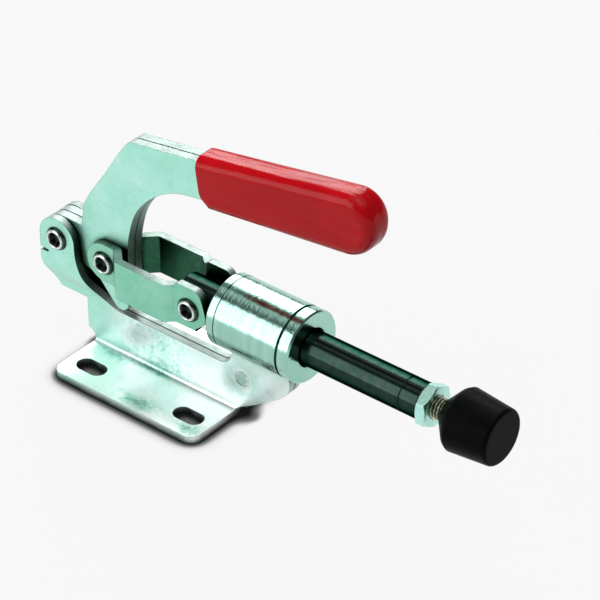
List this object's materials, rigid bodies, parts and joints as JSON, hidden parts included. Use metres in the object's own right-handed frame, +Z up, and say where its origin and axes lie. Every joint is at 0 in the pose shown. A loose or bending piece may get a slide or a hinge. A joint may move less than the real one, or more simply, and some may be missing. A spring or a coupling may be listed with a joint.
{
  "type": "push-pull toggle clamp",
  "caption": "Straight-line push toggle clamp on a flanged sheet-steel base, with a hooked plate handle, vinyl grip and rubber-tipped spindle.",
  "frame": {"origin": "in the mounting face, at the centre of the four mounting slots", "axes": "+X the way the plunger pushes, +Z up from the mounting face, mirrored about the XZ plane"},
  "size_m": [0.2405, 0.0636, 0.1365],
  "materials": {
    "zinc_sheet": "bright zinc plate",
    "turned_zinc": "turned, bright zinc plate",
    "rivet_steel": "plated",
    "black_oxide": "ground, black oxide",
    "thread_steel": "zinc plate, slightly yellow",
    "red_vinyl": "dipped, gloss",
    "black_rubber": "matt"
  },
  "bodies": {
    "base": {"base_half_near": "zinc_sheet", "base_half_far": "zinc_sheet", "guide_barrel": "turned_zinc", "barrel_weld_near": "turned_zinc", "barrel_weld_far": "turned_zinc", "rear_pivot_rivet": "rivet_steel"},
    "handle": {"handle_plate_near": "zinc_sheet", "handle_plate_far": "zinc_sheet", "handle_grip": "red_vinyl"},
    "links": {"link_near": "zinc_sheet", "link_far": "zinc_sheet", "crank_rivet": "rivet_steel", "plunger_rivet_near": "rivet_steel", "plunger_rivet_far": "rivet_steel"},
    "plunger": {"plunger_rod": "black_oxide", "plunger_cross_pin": "rivet_steel", "jam_nut": "turned_zinc"},
    "spindle": {"spindle_bolt": "thread_steel", "rubber_tip": "black_rubber"}
  },
  "joints": [
    {"name": "handle_pivot", "type": "hinge", "parent": "base", "child": "handle", "pos_m": [-0.056, 0, 0.0519], "axis": [0, -1, 0], "range_deg": [0, 105]},
    {"name": "link_pivot", "type": "hinge", "parent": "handle", "child": "links", "pos_m": [-0.029, 0, 0.0508], "axis": [0, -1, 0], "range_deg": [-138, 0]},
    {"name": "plunger_slide", "type": "slide", "parent": "base", "child": "plunger", "axis": [-1, 0, 0], "range_m": [0, 0.0411]},
    {"name": "spindle_adjust", "type": "slide", "parent": "plunger", "child": "spindle", "axis": [1, 0, 0], "range_m": [0, 0.008]}
  ],
  "couplings": [
    {"joint": "link_pivot", "follows": "handle_pivot", "ratio": -1.3137},
    {"joint": "plunger_slide", "follows": "handle_pivot", "m_per_rad": 0.022394}
  ]
}
